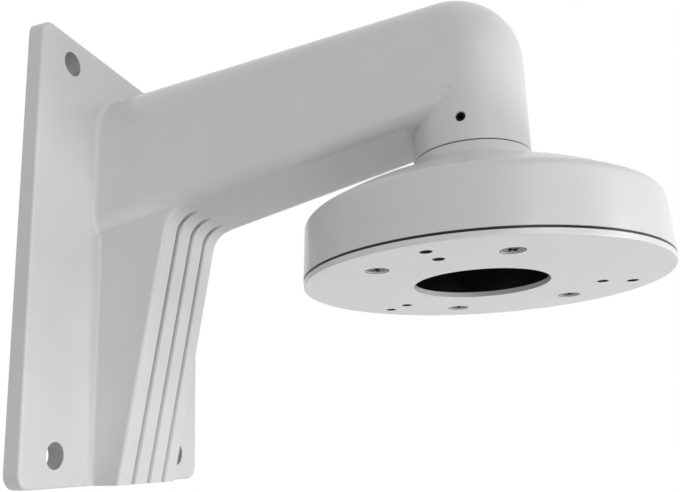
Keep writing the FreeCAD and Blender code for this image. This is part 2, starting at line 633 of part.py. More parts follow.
# The tapped hole for the set screw, through the side of the neck
set_hole = begin_sketch(arm, "SetHole", "YZ_Plane")
circle(set_hole, "-Sizes.neck_reach", "Sizes.set_screw_height", "Sizes.set_screw_bore / 2")
pocket(arm, "SetHoleCut", set_hole, "Sizes.neck_radius")

# The rounded lower edge of the neck
neck_bottom = number("Sizes.neck_end")
neck_wide = number("Sizes.neck_radius")
soften(arm, "NeckEdge", "Sizes.neck_edge", lambda edge: (
    edge.Curve.TypeId == "Part::GeomCircle"
    and abs(edge.Curve.Radius - neck_wide) < NEAR
    and abs(middle_of(edge).z - neck_bottom) < NEAR))

# Cap casting
STUB_RADIUS = "(Sizes.socket_bore / 2 - Sizes.stub_slack)"
STUB_TOP = "(Sizes.neck_end + Sizes.stub_length)"
BORE_RADIUS = "(Sizes.cable_bore / 2)"
SIDE_TOP = (
    "(Sizes.cap_radius - (Sizes.cap_side_top - Sizes.cap_rim) * tan(Sizes.cap_draft))"
)
COLLAR_FOOT = (
    "(Sizes.dome_knee_height + (Sizes.dome_knee - Sizes.collar_radius) * tan(Sizes.dome_slope))"
)
LOWER_SLOPE = (
    "(atan((Sizes.dome_knee_height - Sizes.cap_side_top)"
    " / (" + SIDE_TOP + " - Sizes.dome_knee)) / 1 deg)"
)
SHOULDER_RUN = (
    "(Sizes.cap_shoulder * tan((90 - Sizes.cap_draft - " + LOWER_SLOPE + ") / 2))"
)
FLANK_RUN = "((" + SIDE_TOP + " - Sizes.dome_knee) / cos(" + LOWER_SLOPE + "))"
KNEE_ROUND = (
    "min(Sizes.dome_round; (" + FLANK_RUN + " - " + SHOULDER_RUN + ")"
    " / tan((" + LOWER_SLOPE + " - Sizes.dome_slope) / 2))"
)
MEAN_SLOPE = "((" + LOWER_SLOPE + " + Sizes.dome_slope) / 2)"
KNEE_WALL = "(Sizes.cap_wall / cos((" + LOWER_SLOPE + " - Sizes.dome_slope) / 2))"
KNEE_IN = "(Sizes.dome_knee - " + KNEE_WALL + " * sin(" + MEAN_SLOPE + "))"
KNEE_IN_HEIGHT = "(Sizes.dome_knee_height - " + KNEE_WALL + " * cos(" + MEAN_SLOPE + "))"
RIM_IN = "(Sizes.cap_radius - Sizes.cap_wall / cos(Sizes.cap_draft))"
SIDE_AT_ZERO = "(" + RIM_IN + " + Sizes.cap_rim * tan(Sizes.cap_draft))"
SIDE_IN_HEIGHT = (
    "((Sizes.cap_side_top - Sizes.cap_wall / cos(" + LOWER_SLOPE + ")"
    " + (" + SIDE_TOP + " - " + SIDE_AT_ZERO + ") * tan(" + LOWER_SLOPE + "))"
    " / (1 - tan(Sizes.cap_draft) * tan(" + LOWER_SLOPE + ")))"
)
SIDE_IN = "(" + SIDE_AT_ZERO + " - " + SIDE_IN_HEIGHT + " * tan(Sizes.cap_draft))"
BORE_FOOT = (
    "(" + KNEE_IN_HEIGHT + " + (" + KNEE_IN + " - " + BORE_RADIUS + ") * tan(Sizes.dome_slope))"
)


def screw_places(circle_size, spread):
    """Places on the turned axis of the cap: one each side of it, near and far."""
    places = []
    for hand in ("", "-"):
        for turn in (" + ", " - "):
            angle = "(Sizes.cap_turn" + turn + spread + ")"
            x = hand + circle_size + " / 2 * cos" + angle
            y = "-Sizes.neck_reach + (" + hand + circle_size + " / 2 * sin" + angle + ")"
            places.append((x, y))
    return places


def camera_places():
    """Three pairs of holes, a third of a turn apart, on two pitch circles."""
    places = []
    for circle_size in ("Sizes.camera_circle_inner", "Sizes.camera_circle_outer"):
        for turn in ("60", "180", "300"):
            angle = "(Sizes.cap_turn + " + turn + ")"
            x = circle_size + " / 2 * cos" + angle
            y = "-Sizes.neck_reach + " + circle_size + " / 2 * sin" + angle
            places.append((x, y))
    return places


SCREWS = screw_places("Sizes.screw_circle", "Sizes.screw_spread")
CAMERA_HOLES = camera_places()

# The inside of the cap as a solid, with the four screw bosses left out of it
hollow = begin_body("cap_hollow")
hollow_profile = begin_sketch(hollow, "HollowProfile", "XZ_Plane", lift="Sizes.neck_reach")
outline(hollow_profile, [
    ("0", "Sizes.cap_rim"),
    (RIM_IN, "Sizes.cap_rim"),
    (SIDE_IN, SIDE_IN_HEIGHT),
    (KNEE_IN, KNEE_IN_HEIGHT, KNEE_ROUND + " - Sizes.cap_wall"),
    (BORE_RADIUS, BORE_FOOT),
    ("0", BORE_FOOT),
])
spin(hollow, "HollowTurn", hollow_profile, "V_Axis")
boss_rounds = begin_sketch(hollow, "BossRounds", "XY_Plane", lift="Sizes.cap_rim")
for x, y in SCREWS:
    circle(boss_rounds, x, y, "Sizes.boss_radius")
pocket(hollow, "BossRoom", boss_rounds, "Sizes.neck_end - Sizes.cap_rim", other_way=True)

cap = begin_body("mount_cap")
cap_profile = begin_sketch(cap, "CapProfile", "XZ_Plane", lift="Sizes.neck_reach")
outline(cap_profile, [
    ("0", "Sizes.cap_rim"),
    ("Sizes.cap_radius", "Sizes.cap_rim"),
    (SIDE_TOP, "Sizes.cap_side_top", "Sizes.cap_shoulder"),
    ("Sizes.dome_knee", "Sizes.dome_knee_height", KNEE_ROUND),
    ("Sizes.collar_radius", COLLAR_FOOT, "Sizes.collar_blend"),
    ("Sizes.collar_radius", "Sizes.neck_end", "Sizes.collar_edge"),
    (STUB_RADIUS, "Sizes.neck_end"),
    (STUB_RADIUS, STUB_TOP),
    ("0", STUB_TOP),
])
spin(cap, "CapTurn", cap_profile, "V_Axis")
cap_bore = begin_sketch(cap, "CapBore", "XY_Plane", lift="Sizes.cap_rim")
circle(cap_bore, "0", "-Sizes.neck_reach", BORE_RADIUS)
pocket(cap, "CableWay", cap_bore, STUB_TOP + " - Sizes.cap_rim", other_way=True)
hollow_cut = cap.newObject("PartDesign::Boolean", "HollowCut")
hollow_cut.setObjects([hollow])
hollow_cut.Type = "Cut"
doc.recompute()
boss_holes = begin_sketch(cap, "BossHoles", "XY_Plane", lift="Sizes.cap_rim")
for x, y in SCREWS:
    circle(boss_holes, x, y, "Sizes.screw_shank / 2")
pocket(cap, "BossHoleCut", boss_holes, "Sizes.screw_length", other_way=True)

# Rubber seal between cap and adapter plate
seal = begin_body("cap_gasket")
seal_disc = begin_sketch(seal, "SealDisc", "XY_Plane", lift=SEAL_BOTTOM)
circle(seal_disc, "0", "-Sizes.neck_reach", "Sizes.cap_radius - Sizes.seal_inset")
circle(seal_disc, "0", "-Sizes.neck_reach", "Sizes.cable_hole / 2")
for x, y in SCREWS:
    circle(seal_disc, x, y, "Sizes.screw_shank / 2 + Sizes.screw_slack")
for x, y in CAMERA_HOLES:
    circle(seal_disc, x, y, "Sizes.camera_hole / 2 + Sizes.screw_slack")
pad(seal, "Disc", seal_disc, "Sizes.seal_thick")
seal_ring = begin_sketch(seal, "SealRing", "XY_Plane", lift=SEAL_TOP)
circle(seal_ring, "0", "-Sizes.neck_reach", "Sizes.cable_hole / 2 + Sizes.seal_collar_wall")
circle(seal_ring, "0", "-Sizes.neck_reach", "Sizes.cable_hole / 2")
pad(seal, "Collar", seal_ring, "Sizes.seal_collar")

# Adapter plate
plate = begin_body("adapter_plate")
plate_disc = begin_sketch(plate, "AdapterDisc", "XY_Plane", lift=ADAPTER_BOTTOM)
circle(plate_disc, "0", "-Sizes.neck_reach", "Sizes.adapter_radius")
circle(plate_disc, "0", "-Sizes.neck_reach", "Sizes.cable_hole / 2")
for x, y in SCREWS:
    circle(plate_disc, x, y, "Sizes.screw_shank / 2 + Sizes.screw_slack")
for x, y in CAMERA_HOLES:
    circle(plate_disc, x, y, "Sizes.camera_hole / 2")
pad(plate, "AdapterDiscPad", plate_disc, "Sizes.adapter_thick")
HEAD_LEAN = "atan((Sizes.screw_head - Sizes.screw_shank) / 2 / Sizes.screw_cone)"
sinks = begin_sketch(plate, "Countersinks", "XY_Plane", lift=ADAPTER_BOTTOM)
for x, y in SCREWS:
    circle(sinks, x, y, "Sizes.screw_head / 2")
sink_cut = pocket(plate, "CountersinkCut", sinks, "Sizes.screw_cone", other_way=True)
sink_cut.setExpression("TaperAngle", "-" + HEAD_LEAN)
adapter_low = number(ADAPTER_BOTTOM)
adapter_wide = number("Sizes.adapter_radius")
soften(plate, "AdapterEdge", "Sizes.adapter_edge", lambda edge: (
    edge.Curve.TypeId == "Part::GeomCircle"
    and abs(edge.Curve.Radius - adapter_wide) < NEAR
    and abs(middle_of(edge).z - adapter_low) < NEAR))

# Countersunk screws, heads flush with the adapter plate
screws = begin_body("plate_screws")
screws.AllowCompound = True
shanks = begin_sketch(screws, "Shanks", "XY_Plane", lift=ADAPTER_BOTTOM)
for x, y in SCREWS:
    circle(shanks, x, y, "Sizes.screw_shank / 2")
pad(screws, "ShankPad", shanks, "Sizes.screw_length")
heads = begin_sketch(screws, "Heads", "XY_Plane", lift=ADAPTER_BOTTOM)
for x, y in SCREWS:
    circle(heads, x, y, "Sizes.screw_head / 2")
head_pad = pad(screws, "HeadPad", heads, "Sizes.screw_cone")
head_pad.setExpression("TaperAngle", "-" + HEAD_LEAN)
crosses = begin_sketch(screws, "Crosses", "XY_Plane", lift=ADAPTER_BOTTOM)
for x, y in SCREWS:
    cross(crosses, x, y, "Sizes.cross_length", "Sizes.cross_width")
pocket(screws, "CrossCut", crosses, "Sizes.cross_depth", other_way=True)

# Set screw, its socket facing out of the neck
grub = begin_body("set_screw")
grub_round = begin_sketch(grub, "GrubRound", "YZ_Plane", lift="-" + STUB_RADIUS)
circle(grub_round, "-Sizes.neck_reach", "Sizes.set_screw_height", "Sizes.set_screw_bore / 2")
pad(grub, "GrubPad", grub_round, "Sizes.set_screw_length", other_way=True)
GRUB_OUTER = "(-" + STUB_RADIUS + " - Sizes.set_screw_length)"
grub_hex = begin_sketch(grub, "GrubHex", "YZ_Plane", lift=GRUB_OUTER)
HEX_POINT = "(Sizes.hex_across / sqrt(3))"
outline(grub_hex, [
    ("-Sizes.neck_reach + " + HEX_POINT + " * cos(%d)" % turn,
     "Sizes.set_screw_height + " + HEX_POINT + " * sin(%d)" % turn)
    for turn in range(0, 360, 60)])
pocket(grub, "GrubSocket", grub_hex, "Sizes.hex_depth", other_way=True)

doc.recompute()

# Check every object and piece, then write the pieces
for item in doc.Objects:
    if "Invalid" in item.State or "Error" in item.State:
        raise RuntimeError(item.Name + " failed")
os.makedirs("parts", exist_ok=True)
for piece in (arm, cap, seal, plate, screws, grub):
    if piece.Shape.isNull() or not piece.Shape.isValid():
        raise RuntimeError(piece.Label + " has no valid shape")
    piece.Shape.exportStep("parts/" + piece.Label + ".step")
    print(piece.Label, round(piece.Shape.Volume, 1), "mm3")
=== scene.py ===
import math

import bmesh
import bpy
from mathutils import Matrix, Vector


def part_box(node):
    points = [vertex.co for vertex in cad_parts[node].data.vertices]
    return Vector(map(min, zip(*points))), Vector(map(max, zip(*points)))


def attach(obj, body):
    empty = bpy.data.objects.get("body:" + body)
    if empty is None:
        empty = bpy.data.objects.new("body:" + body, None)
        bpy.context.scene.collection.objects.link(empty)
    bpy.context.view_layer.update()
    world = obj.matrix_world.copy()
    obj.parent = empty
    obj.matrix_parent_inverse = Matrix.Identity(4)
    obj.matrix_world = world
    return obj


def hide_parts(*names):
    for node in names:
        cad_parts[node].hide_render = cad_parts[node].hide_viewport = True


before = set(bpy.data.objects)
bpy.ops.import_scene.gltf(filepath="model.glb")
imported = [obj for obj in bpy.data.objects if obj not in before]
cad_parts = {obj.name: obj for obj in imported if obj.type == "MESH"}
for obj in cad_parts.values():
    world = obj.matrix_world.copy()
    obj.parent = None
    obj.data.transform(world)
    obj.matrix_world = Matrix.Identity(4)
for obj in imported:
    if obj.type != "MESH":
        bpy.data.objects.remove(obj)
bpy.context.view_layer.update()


# Bracket casting: one aluminium die casting of wall plate, gusset, hollow arm and neck. It is
# powder coated white, baked on as a thin skin that flows round every edge, and it hangs on four
# screws through the corners of the plate.
def linear(code):
    """The linear colour of an sRGB hex code."""
    parts = [int(code[i:i + 2], 16) / 255 for i in (1, 3, 5)]
    linear_parts = [p / 12.92 if p <= 0.04045 else ((p + 0.055) / 1.055) ** 2.4 for p in parts]
    return (*linear_parts, 1.0)


def add_node(tree, kind, settings=None, links=None):
    """Add one node with its settings and fixed inputs by name, and link what feeds it."""
    made = tree.nodes.new(kind)
    for name, value in (settings or {}).items():
        if isinstance(name, int) or name in made.inputs:
            made.inputs[name].default_value = value
        else:
            setattr(made, name, value)
    for name, source in (links or {}).items():
        tree.links.new(source, made.inputs[name])
    return made


def new_finish(name):
    """An empty material, its tree and the object's own coordinates in metres."""
    finish = bpy.data.materials.new(name)
    finish.use_nodes = True
    tree = finish.node_tree
    tree.nodes.clear()
    place = add_node(tree, "ShaderNodeTexCoord").outputs["Object"]
    return finish, tree, place


def powder_coat(name, light, dark, shift, shade=None):
    """White polyester powder: satin, with a faint orange peel and a film that pools unevenly.

    A shade function, if there is one, gives where painted shade darkens the coat, from 0 to 1.
    """
    finish, tree, place = new_finish(name)
    moved = add_node(tree, "ShaderNodeMapping", {"Location": shift}, {"Vector": place}).outputs[0]
    # film thickness changes over 40 mm or so, which greys the white a little
    film = add_node(tree, "ShaderNodeTexNoise",
                    {"Scale": 1 / 0.040, "Detail": 2.0, "Roughness": 0.5}, {"Vector": moved})
    # orange peel of powder is about 1.5 mm from crest to crest and a few microns deep
    peel = add_node(tree, "ShaderNodeTexNoise",
                    {"Scale": 1 / 0.0015, "Detail": 1.5, "Roughness": 0.45}, {"Vector": moved})
    # the grit of the powder is 0.05 mm; it is drawn at 0.5 mm so that it shows
    grit = add_node(tree, "ShaderNodeTexNoise",
                    {"Scale": 1 / 0.0005, "Detail": 2.0, "Roughness": 0.6}, {"Vector": moved})
    mottle = add_node(tree, "ShaderNodeMath", {"operation": "MULTIPLY_ADD", 1: 0.35},
                      {0: grit.outputs["Fac"], 2: film.outputs["Fac"]})
    tone = add_node(tree, "ShaderNodeValToRGB", None, {"Fac": mottle.outputs[0]})
    tone.color_ramp.elements[0].position = 0.45
    tone.color_ramp.elements[0].color = linear(dark)
    tone.color_ramp.elements[1].position = 0.90
    tone.color_ramp.elements[1].color = linear(light)
    colour = tone.outputs["Color"]
    # painted shade: where the shade function says, the coat's colour is mixed towards near black
    if shade:
        colour = add_node(tree, "ShaderNodeMix", {"data_type": "RGBA", 7: linear("#161718")},
                          {0: shade(tree, place), 6: colour}).outputs[2]
    gloss = add_node(tree, "ShaderNodeMapRange",
                     {"From Min": 0.3, "From Max": 0.7, "To Min": 0.30, "To Max": 0.40},
                     {"Value": peel.outputs["Fac"]})
    low = add_node(tree, "ShaderNodeBump", {"Strength": 0.35, "Distance": 0.00006},
                   {"Height": peel.outputs["Fac"]})
    fine = add_node(tree, "ShaderNodeBump", {"Strength": 0.25, "Distance": 0.00003},
                    {"Height": grit.outputs["Fac"], "Normal": low.outputs["Normal"]})
    # the resin that flows to the top as it bakes is glossier than the coat under it
    skin = add_node(tree, "ShaderNodeBsdfPrincipled",
                    {"IOR": 1.5, "Coat Weight": 0.35, "Coat Roughness": 0.12},
                    {"Base Color": colour, "Roughness": gloss.outputs["Result"],
                     "Normal": fine.outputs["Normal"]})
    add_node(tree, "ShaderNodeOutputMaterial", None, {"Surface": skin.outputs[0]})
    return finish


def dress(name, finish):
    """Give a CAD piece one finish all over."""
    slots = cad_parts[name].data.materials
    slots.clear()
    slots.append(finish)


def joint_shade(tree, place):
    """Painted shade of the hairline joint under the neck, about 0.5 mm wide, where the two castings
    meet.
    """
    neck_end = 0.0266
    arm_middle = -0.12  # nothing nearer the wall than this belongs to the neck
    axes = add_node(tree, "ShaderNodeSeparateXYZ", None, {0: place})
    lift = add_node(tree, "ShaderNodeMath", {"operation": "SUBTRACT", 1: neck_end},
                    {0: axes.outputs["Z"]})
    off = add_node(tree, "ShaderNodeMath", {"operation": "ABSOLUTE"}, {0: lift.outputs[0]})
    line = add_node(tree, "ShaderNodeMapRange",
                    {"From Min": 0.00012, "From Max": 0.00035, "To Min": 1.0, "To Max": 0.0},
                    {"Value": off.outputs[0]})
    out = add_node(tree, "ShaderNodeMath", {"operation": "LESS_THAN", 1: arm_middle},
                   {0: axes.outputs["Y"]})
    return add_node(tree, "ShaderNodeMath", {"operation": "MULTIPLY"},
                    {0: line.outputs["Result"], 1: out.outputs[0]}).outputs[0]


def casting_shade(tree, place):
    """Painted shade where shade falls: in the gusset's grooves, in the wall holes and in the joint.
    """
    axes = add_node(tree, "ShaderNodeSeparateXYZ", None, {0: place})
    # three grooves, 11.2 mm apart, each darkened with painted shade from wall to wall
    groove_pitch = 0.0112
    groove_limit = 0.0135  # from the middle, just past the outer grooves
    across = add_node(tree, "ShaderNodeMath", {"operation": "ABSOLUTE"}, {0: axes.outputs["X"]})
    aside = add_node(tree, "ShaderNodeMath", {"operation": "PINGPONG", 1: groove_pitch / 2},
                     {0: across.outputs[0]})
    floor = add_node(tree, "ShaderNodeMapRange",
                     {"From Min": 0.0009, "From Max": 0.0015, "To Min": 1.0, "To Max": 0.0},
                     {"Value": aside.outputs[0]})
    inner = add_node(tree, "ShaderNodeMath", {"operation": "LESS_THAN", 1: groove_limit},
                     {0: across.outputs[0]})
    # the gusset's face leans 10.7 degrees and stands 19.7 mm off the wall at its foot: the shade
    # starts 2.2 mm behind it, and fades in the blend to the arm, 4.5 to 8 mm in front of it
    lean = math.radians(10.7)
    face = -0.0197 * math.cos(lean) - 0.091 * math.sin(lean)
    underside = 0.020  # of the arm, where it meets the gusset
    deep = add_node(tree, "ShaderNodeVectorMath",
                    {"operation": "DOT_PRODUCT", 1: (0, math.cos(lean), math.sin(lean))},
                    {0: place})
    runout = add_node(tree, "ShaderNodeMapRange",
                      {"From Min": face - 0.0080, "From Max": face - 0.0045},
                      {"Value": deep.outputs["Value"]})
    within = add_node(tree, "ShaderNodeMath", {"operation": "LESS_THAN", 1: face + 0.0022},
                      {0: deep.outputs["Value"]})
    below = add_node(tree, "ShaderNodeMath", {"operation": "LESS_THAN", 1: underside},
                     {0: axes.outputs["Z"]})
    # the painted shade is darkest near the top, where the grooves run out against the arm
    strength = add_node(tree, "ShaderNodeMapRange",
                        {"From Min": -0.070, "From Max": -0.005, "To Min": 0.36, "To Max": 0.62},
                        {"Value": axes.outputs["Z"]})
    groove = strength.outputs["Result"]
    for part in (floor.outputs["Result"], runout.outputs["Result"], within.outputs[0],
                 inner.outputs[0], below.outputs[0]):
        groove = add_node(tree, "ShaderNodeMath", {"operation": "MULTIPLY"},
                          {0: groove, 1: part}).outputs[0]
    # painted shade inside the wall holes, which are 10 mm wide, 88 mm apart across the plate and
    # 158.4 mm apart up it
    hole_place = (0.088 / 2, 0, 0.1584 / 2)
    folded = add_node(tree, "ShaderNodeVectorMath", {"operation": "ABSOLUTE"}, {0: place})
    centred = add_node(tree, "ShaderNodeVectorMath", {"operation": "SUBTRACT", 1: hole_place},
                       {0: folded.outputs[0]})
    flat = add_node(tree, "ShaderNodeVectorMath", {"operation": "MULTIPLY", 1: (1, 0, 1)},
                    {0: centred.outputs[0]})
    radius = add_node(tree, "ShaderNodeVectorMath", {"operation": "LENGTH"}, {0: flat.outputs[0]})
    bore = add_node(tree, "ShaderNodeMapRange",
                    {"From Min": 0.00503, "From Max": 0.00515, "To Min": 0.45, "To Max": 0.0},
                    {"Value": radius.outputs["Value"]})
    both = add_node(tree, "ShaderNodeMath", {"operation": "MAXIMUM"},
                    {0: groove, 1: bore.outputs["Result"]})
    return add_node(tree, "ShaderNodeMath", {"operation": "MAXIMUM"},
                    {0: both.outputs[0], 1: joint_shade(tree, place)}).outputs[0]


# the bracket's coat carries the painted shade of casting_shade
coat = powder_coat("white_powder_coat_on_casting", "#E6E6E5", "#DFE0DE", (0, 0, 0), casting_shade)
dress("wall_arm", coat)

# Cap casting: the round aluminium casting that screws up into the neck, coated in the same white
# powder. A threaded stub goes into the socket, and the set screw keeps it from turning.
# the hairline joint under the neck is darkened with painted shade by joint_shade
dress("mount_cap", powder_coat("white_powder_coat_on_cap", "#E6E6E5", "#DFE0DE", (0.3, 0.1, 0.2),
                               joint_shade))

# Seal: a moulded black rubber ring, pressed between cap and adapter plate, with a collar that
# lines the cable hole. It keeps water out and shows as the dark line round the rim.
rubber, tree, place = new_finish("black_moulded_rubber")
# the mould was spark eroded, which leaves a grain of about 0.4 mm
grain = add_node(tree, "ShaderNodeTexNoise", {"Scale": 1 / 0.0004, "Detail": 2.0},
                 {"Vector": place})
# a bloom of wax comes to the surface in patches of 12 mm or so
bloom = add_node(tree, "ShaderNodeTexNoise", {"Scale": 1 / 0.012, "Detail": 3.0}, {"Vector": place})
dull = add_node(tree, "ShaderNodeValToRGB", None, {"Fac": bloom.outputs["Fac"]})
dull.color_ramp.elements[0].color = linear("#050506")
dull.color_ramp.elements[1].color = linear("#0C0C0E")
rough = add_node(tree, "ShaderNodeMapRange",
                 {"From Min": 0.3, "From Max": 0.7, "To Min": 0.26, "To Max": 0.38},
                 {"Value": bloom.outputs["Fac"]})
grained = add_node(tree, "ShaderNodeBump", {"Strength": 0.2, "Distance": 0.00002},
                   {"Height": grain.outputs["Fac"]})
skin = add_node(tree, "ShaderNodeBsdfPrincipled", {"IOR": 1.52, "Specular IOR Level": 0.3},
                {"Base Color": dull.outputs["Color"], "Roughness": rough.outputs["Result"],
                 "Normal": grained.outputs["Normal"]})
add_node(tree, "ShaderNodeOutputMaterial", None, {"Surface": skin.outputs[0]})
dress("cap_gasket", rubber)

# Adapter plate: a 2 mm disc that the camera is screwed to, stamped from steel sheet and coated
# white like the castings. The seal and the cap lie over it, and four screws hold it up.
dress("adapter_plate", powder_coat("white_powder_coat_on_sheet", "#EAEAEA", "#E3E4E4",
                                   (0.5, 0.4, 0.1)))
neck_axis = Vector((0.0, -0.160, 0.0))
plate_top, plate_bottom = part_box("adapter_plate")[1][2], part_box("adapter_plate")[0][2]
plate_thick = plate_top - plate_bottom
pattern_turn = -8.93  # degrees, of the whole hole pattern about the neck axis

# Tapped camera holes: six M4 threads cut through the adapter plate after it was coated, for
# different cameras. The tap leaves bare steel and breaks the coat in a narrow ring; the steel is
# drawn near black as painted shade of the narrow holes.
def new_shape(name, sizes):
    """A geometry tree with these named inputs, and the sockets that give them."""
    tree = bpy.data.node_groups.new(name, "GeometryNodeTree")
    tree.interface.new_socket("Geometry", in_out="INPUT", socket_type="NodeSocketGeometry")
    for label, kind in sizes.items():
        tree.interface.new_socket(label, in_out="INPUT", socket_type="NodeSocket" + kind)
    tree.interface.new_socket("Geometry", in_out="OUTPUT", socket_type="NodeSocketGeometry")
    return tree, add_node(tree, "NodeGroupInput").outputs


def repeat(tree, points, shape, finish, turns=None):
    """End a tree: one copy of the shape at each point, made real and given its finish."""
    links = {"Points": points, "Instance": shape}
    if turns:
        links["Rotation"] = turns
    copies = add_node(tree, "GeometryNodeInstanceOnPoints", None, links)
    real = add_node(tree, "GeometryNodeRealizeInstances", None, {0: copies.outputs[0]})
    dressed = add_node(tree, "GeometryNodeSetMaterial", None,
                       {"Geometry": real.outputs[0], "Material": finish})
    add_node(tree, "NodeGroupOutput", None, {0: dressed.outputs[0]})


def ring(tree, radius, width, height):
    """A flat ring with square edges, centred on the origin."""
    path = add_node(tree, "GeometryNodeCurvePrimitiveCircle", {"Resolution": 40},
                    {"Radius": radius})
    edge = add_node(tree, "GeometryNodeCurvePrimitiveQuadrilateral", None,
                    {"Width": width, "Height": height})
    swept = add_node(tree, "GeometryNodeCurveToMesh", None,
                     {"Curve": path.outputs["Curve"], "Profile Curve": edge.outputs["Curve"]})
    return swept.outputs[0]


def thread(tree, radius, ridge, length, pitch):
    """The ridge of a screw thread, wound about Z and centred on the origin."""
    turns = add_node(tree, "ShaderNodeMath", {"operation": "DIVIDE"}, {0: length, 1: pitch})
    path = add_node(tree, "GeometryNodeCurveSpiral", {"Resolution": 28},
                    {"Rotations": turns.outputs[0], "Start Radius": radius,
                     "End Radius": radius, "Height": length})
    edge = add_node(tree, "GeometryNodeCurvePrimitiveCircle", {"Resolution": 3}, {"Radius": ridge})
    wound = add_node(tree, "GeometryNodeCurveToMesh", {"Fill Caps": True},
                     {"Curve": path.outputs["Curve"], "Profile Curve": edge.outputs["Curve"]})
    half = add_node(tree, "ShaderNodeMath", {"operation": "MULTIPLY", 1: -0.5}, {0: length})
    drop = add_node(tree, "ShaderNodeCombineXYZ", None, {"Z": half.outputs[0]})
    return add_node(tree, "GeometryNodeTransform", None,
                    {"Geometry": wound.outputs[0], "Translation": drop.outputs[0]}).outputs[0]


def grow(name, tree, centres, values):
    """Run a tree on these points with these sizes, and keep what it makes as a plain mesh."""
    seeds = bpy.data.meshes.new(name + "_centres")
    seeds.from_pydata([tuple(c) for c in centres], [], [])
    piece = bpy.data.objects.new(name, seeds)
    bpy.context.scene.collection.objects.link(piece)
    modifier = piece.modifiers.new("shape", "NODES")
    modifier.node_group = tree
    for socket in tree.interface.items_tree:
        if socket.in_out == "INPUT" and socket.name in values:
            modifier[socket.identifier] = values[socket.name]
    ready = piece.evaluated_get(bpy.context.evaluated_depsgraph_get())
    made = bpy.data.meshes.new_from_object(ready)
    piece.modifiers.remove(modifier)
    piece.data = made
    made.name = name
    return piece


def on_circle(radius, degrees, height):
    """A point on a pitch circle about the neck axis."""
    turn = math.radians(degrees)
    return neck_axis + Vector((radius * math.cos(turn), radius * math.sin(turn), height))


def patchy(name, patch, dark, light, settings):
    """A small part's finish, which changes between two colours in patches of this size."""
    finish, tree, place = new_finish(name)
    patches = add_node(tree, "ShaderNodeTexNoise", {"Scale": 1 / patch, "Detail": 3.0},
                       {"Vector": place})
    tone = add_node(tree, "ShaderNodeValToRGB", None, {"Fac": patches.outputs["Fac"]})
    tone.color_ramp.elements[0].color = linear(dark)
    tone.color_ramp.elements[1].color = linear(light)
    skin = add_node(tree, "ShaderNodeBsdfPrincipled", settings,
                    {"Base Color": tone.outputs["Color"]})
    add_node(tree, "ShaderNodeOutputMaterial", None, {"Surface": skin.outputs[0]})
    return finish


# near-black painted shade of the narrow holes over the tapped steel, with an oil's IOR
hole_shade_steel = patchy("tapped_steel_painted_shade", 0.0007, "#030303", "#0C0C0C",
               {"Roughness": 0.8, "IOR": 1.45})
tree, given = new_shape("tapped_hole", {
    "Bore radius": "Float", "Sleeve": "Float", "Plate thickness": "Float", "Rim radius": "Float",
    "Rim width": "Float", "Rim height": "Float", "Thread length": "Float", "Pitch": "Float",
    "Ridge": "Float", "Face": "Vector", "Finish": "Material"})
sleeve = ring(tree, given["Bore radius"], given["Sleeve"], given["Plate thickness"])
rim = ring(tree, given["Rim radius"], given["Rim width"], given["Rim height"])
rim = add_node(tree, "GeometryNodeTransform", None,
               {"Geometry": rim, "Translation": given["Face"]}).outputs[0]
turns = thread(tree, given["Bore radius"], given["Ridge"], given["Thread length"],
               given["Pitch"])
hole = add_node(tree, "GeometryNodeJoinGeometry")
for shape in (sleeve, rim, turns):
    tree.links.new(shape, hole.inputs[0])
repeat(tree, given["Geometry"], hole.outputs[0], given["Finish"])
camera_circles = 0.0445, 0.0555  # radii of the two patterns of camera holes
hole_centres = [on_circle(radius, pattern_turn + turn, (plate_top + plate_bottom) / 2)
                for radius in camera_circles for turn in (60, 180, 300)]
tapped = grow("camera_hole_threads", tree, hole_centres, {
    "Bore radius": 0.00164, "Sleeve": 0.0001, "Plate thickness": plate_thick - 0.0001,
    "Rim radius": 0.00183, "Rim width": 0.00042, "Rim height": 0.00008,
    "Thread length": 0.0014, "Pitch": 0.0007, "Ridge": 0.00014,
    "Face": (0, 0, -plate_thick / 2), "Finish": hole_shade_steel})
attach(tapped, "root")

# Plate screws: four M4 countersunk screws with a cross recess, zinc plated steel, sunk flush in
# the adapter plate. The plating has greyed in patches, and the cross is darkened with painted
# shade.
steel, tree, place = new_finish("zinc_plated_steel")
streak = add_node(tree, "ShaderNodeTexNoise", {"Scale": 1 / 0.0006, "Detail": 3.0},
                  {"Vector": place})
plated = add_node(tree, "ShaderNodeValToRGB", None, {"Fac": streak.outputs["Fac"]})
plated.color_ramp.elements[0].color = linear("#4C4C4D")
plated.color_ramp.elements[1].color = linear("#8A8A89")
worn = add_node(tree, "ShaderNodeMapRange",
                {"From Min": 0.3, "From Max": 0.7, "To Min": 0.28, "To Max": 0.45},
                {"Value": streak.outputs["Fac"]})
# painted shade in the cross starts at the face of the head and is darkest 0.4 mm into it
axes = add_node(tree, "ShaderNodeSeparateXYZ", None, {0: place})
deep = add_node(tree, "ShaderNodeMapRange", {"From Min": -0.02082, "From Max": -0.0204},
                {"Value": axes.outputs["Z"]})
recess_painted_shade = add_node(tree, "ShaderNodeMix", {"data_type": "RGBA", 7: linear("#121212")},
                {0: deep.outputs["Result"], 6: plated.outputs["Color"]})
skin = add_node(tree, "ShaderNodeBsdfPrincipled", {"Metallic": 1.0},
                {"Base Color": recess_painted_shade.outputs[2], "Roughness": worn.outputs["Result"]})
add_node(tree, "ShaderNodeOutputMaterial", None, {"Surface": skin.outputs[0]})


def closed(name, shape):
    """End a closed shape: its faces point outwards, and it becomes an object in the scene."""
    bmesh.ops.recalc_face_normals(shape, faces=shape.faces)
    made = bpy.data.meshes.new(name)
    shape.to_mesh(made)
    shape.free()
    solid = bpy.data.objects.new(name, made)
    bpy.context.scene.collection.objects.link(solid)
    return solid


